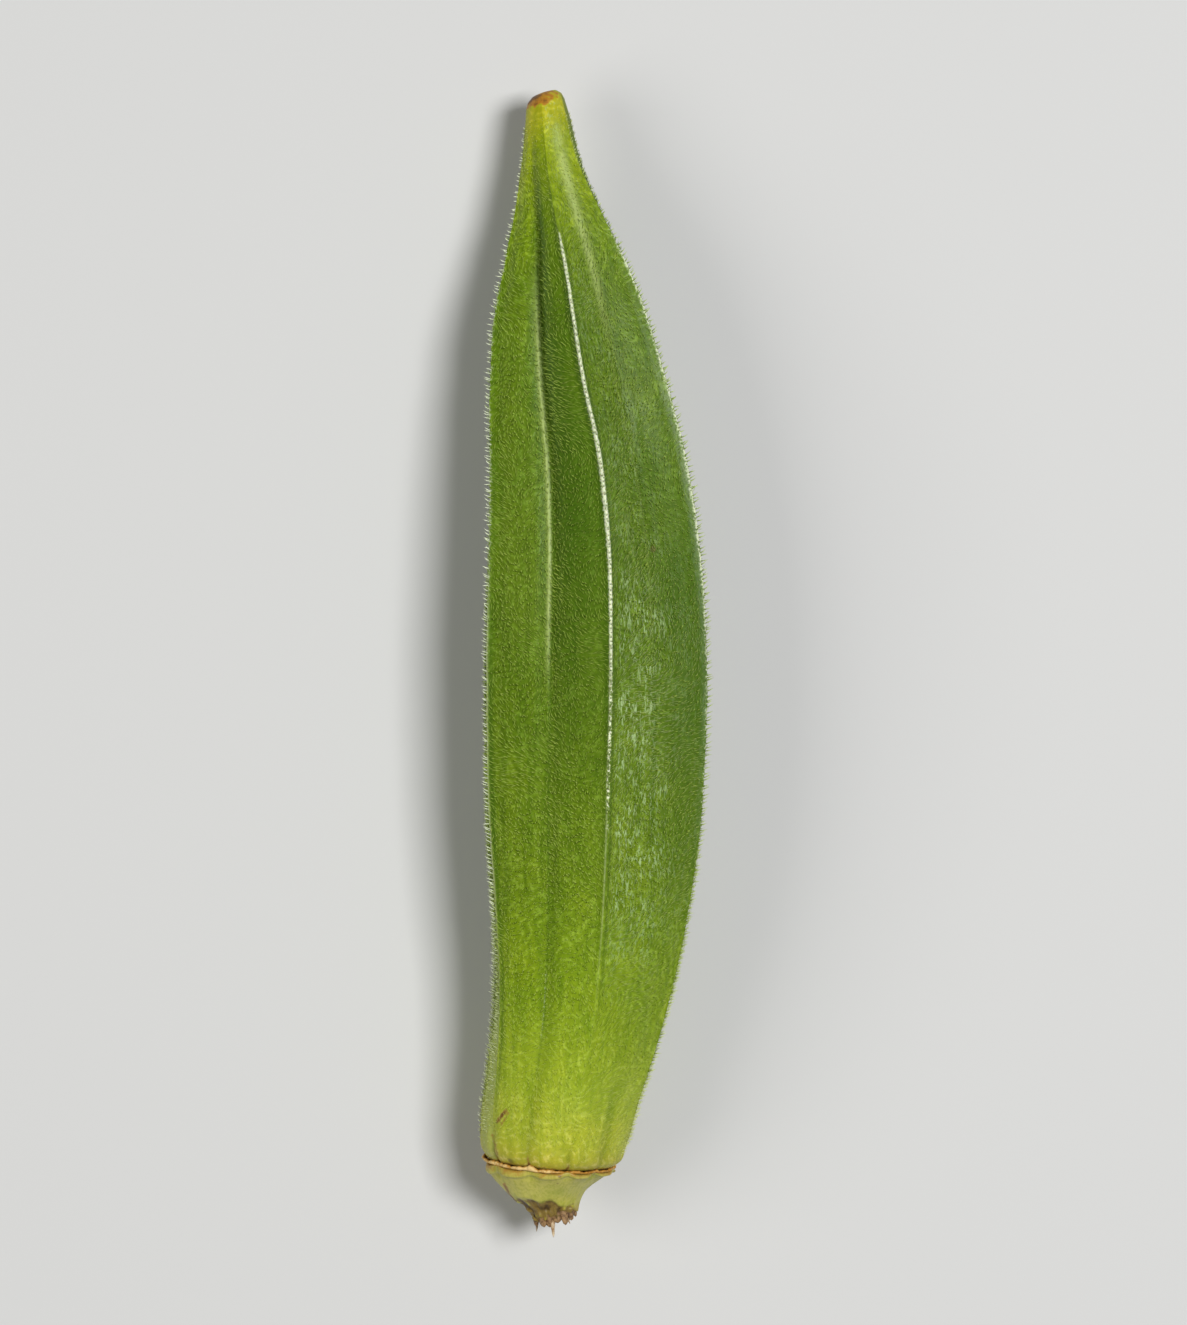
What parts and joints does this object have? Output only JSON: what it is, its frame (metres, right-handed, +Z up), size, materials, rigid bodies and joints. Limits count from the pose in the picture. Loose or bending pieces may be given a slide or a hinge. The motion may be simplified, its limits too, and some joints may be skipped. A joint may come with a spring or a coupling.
{
  "type": "okra pod",
  "caption": "Tapering ribbed green seed pod lying on its side, with a pale flared stem cap, a corky scar ring and a short cut stalk.",
  "frame": {"origin": "on the surface that the pod lies on, under the middle of its outline", "axes": "+Y from the cut stalk to the tip, +Z up from the surface, +X to the side that the pod bows towards"},
  "size_m": [0.0264, 0.1312, 0.0253],
  "materials": {
    "pod_skin": "satin green skin with fine pale hairs",
    "cap_skin": "pale yellow-green, finely striated, with a corky brown ring and cut"
  },
  "bodies": {
    "root": {"pod": "pod_skin", "stem_cap": "cap_skin"}
  },
  "joints": []
}
